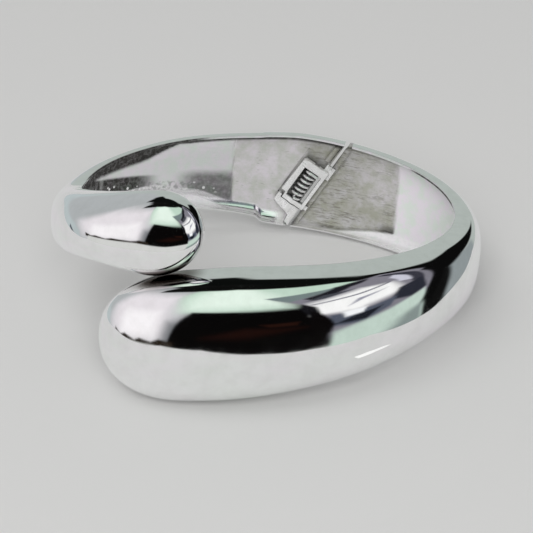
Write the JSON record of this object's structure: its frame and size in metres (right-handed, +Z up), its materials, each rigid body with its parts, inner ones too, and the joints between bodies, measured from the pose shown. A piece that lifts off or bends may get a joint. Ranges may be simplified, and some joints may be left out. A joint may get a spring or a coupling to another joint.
{
  "type": "hinged wrap bangle",
  "caption": "Hinged wrap bangle of polished metal: hollow-backed arms with teardrop bulb ends that pass each other, sprung shut by a slanted hinge at the back.",
  "frame": {"origin": "on the supporting surface, under the middle of the part's bounding box", "axes": "+Z up as the bangle lies at rest; +Y towards the hinge at the back, -Y towards the bulbs at the front, +X towards the side that the lower bulb's arm goes round"},
  "size_m": [0.0692, 0.0624, 0.0332],
  "materials": {
    "polished_metal": "mirror polished outside, cast and plated in the hollow backs",
    "hinge_metal": "plated",
    "spring_steel": "drawn wire"
  },
  "bodies": {
    "lower_side": {"right_arm": "polished_metal", "hinge_frame": "hinge_metal", "hinge_spring": "spring_steel"},
    "upper_side": {"left_arm": "polished_metal", "hinge_knuckle": "hinge_metal", "hinge_pin": "spring_steel"}
  },
  "joints": [
    {"name": "spring_hinge", "type": "hinge", "parent": "lower_side", "child": "upper_side", "pos_m": [0.00728, 0.0274, 0.0085], "axis": [-0.5704, -0.0345, -0.8206], "range_deg": [0, 20], "stiffness_Nm_per_rad": 0.2, "springref_deg": -34.38}
  ]
}
